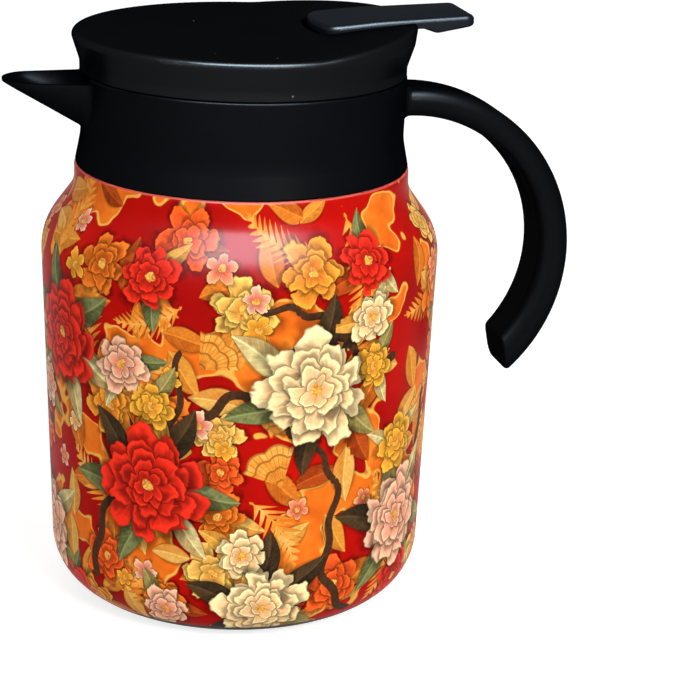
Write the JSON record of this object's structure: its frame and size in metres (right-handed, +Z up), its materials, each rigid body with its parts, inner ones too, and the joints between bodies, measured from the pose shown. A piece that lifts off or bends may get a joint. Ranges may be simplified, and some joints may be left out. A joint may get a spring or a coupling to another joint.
{
  "type": "vacuum jug",
  "caption": "Vacuum-insulated serving jug with a printed steel body, scoop spout, open C handle and a flat lid whose thumb lever lifts a sprung pouring valve.",
  "frame": {"origin": "centre of the underside of the base pad, on the jug's axis", "axes": "+Z up along the jug's axis, +X towards the handle, -X towards the spout, +Y across"},
  "size_m": [0.1802, 0.124, 0.1862],
  "materials": {
    "outer_shell": "printed and clear lacquered",
    "inner_liner": "electropolished",
    "base_plate": "plain pressed",
    "getter": "plain",
    "base_pad": "matte",
    "collar": "fine grained",
    "collar_seal": "matte silicone",
    "handle": "satin",
    "handle_cover": "satin",
    "lid_cover": "fine grained",
    "lid_deck": "plain moulded",
    "lid_plug": "plain moulded",
    "lid_screws": "plain",
    "lid_gasket": "matte silicone",
    "plug_seal": "matte silicone",
    "stem_wiper": "matte silicone",
    "lever_pin": "ground",
    "thumb_lever": "satin",
    "valve_stem": "ground",
    "stem_cap": "plain moulded",
    "valve_head": "plain moulded",
    "valve_seal": "matte silicone",
    "valve_spring": "bright spring wire"
  },
  "bodies": {
    "pot": {"outer_shell": "outer_shell", "inner_liner": "inner_liner", "base_plate": "base_plate", "getter": "getter", "base_pad": "base_pad", "collar": "collar", "collar_seal": "collar_seal", "handle": "handle", "handle_cover": "handle_cover"},
    "lid": {"lid_cover": "lid_cover", "lid_deck": "lid_deck", "lid_plug": "lid_plug", "lid_screws": "lid_screws", "lid_gasket": "lid_gasket", "plug_seal": "plug_seal", "stem_wiper": "stem_wiper", "lever_pin": "lever_pin"},
    "lever": {"thumb_lever": "thumb_lever"},
    "valve": {"valve_stem": "valve_stem", "stem_cap": "stem_cap", "valve_head": "valve_head", "valve_seal": "valve_seal", "valve_spring": "valve_spring"}
  },
  "joints": [
    {"name": "lid_lift", "type": "slide", "parent": "pot", "child": "lid", "axis": [0, 0, 1], "range_m": [0, 0.09]},
    {"name": "lever_press", "type": "hinge", "parent": "lid", "child": "lever", "pos_m": [0.03, 0, 0.1767], "axis": [0, 1, 0], "range_deg": [0, 7.6], "stiffness_Nm_per_rad": 0.6, "springref_deg": -5.73},
    {"name": "valve_lift", "type": "slide", "parent": "lid", "child": "valve", "axis": [0, 0, 1], "range_m": [0, 0.0041], "deforming": ["valve_spring"]}
  ],
  "couplings": [
    {"joint": "valve_lift", "follows": "lever_press", "m_per_rad": 0.03}
  ]
}
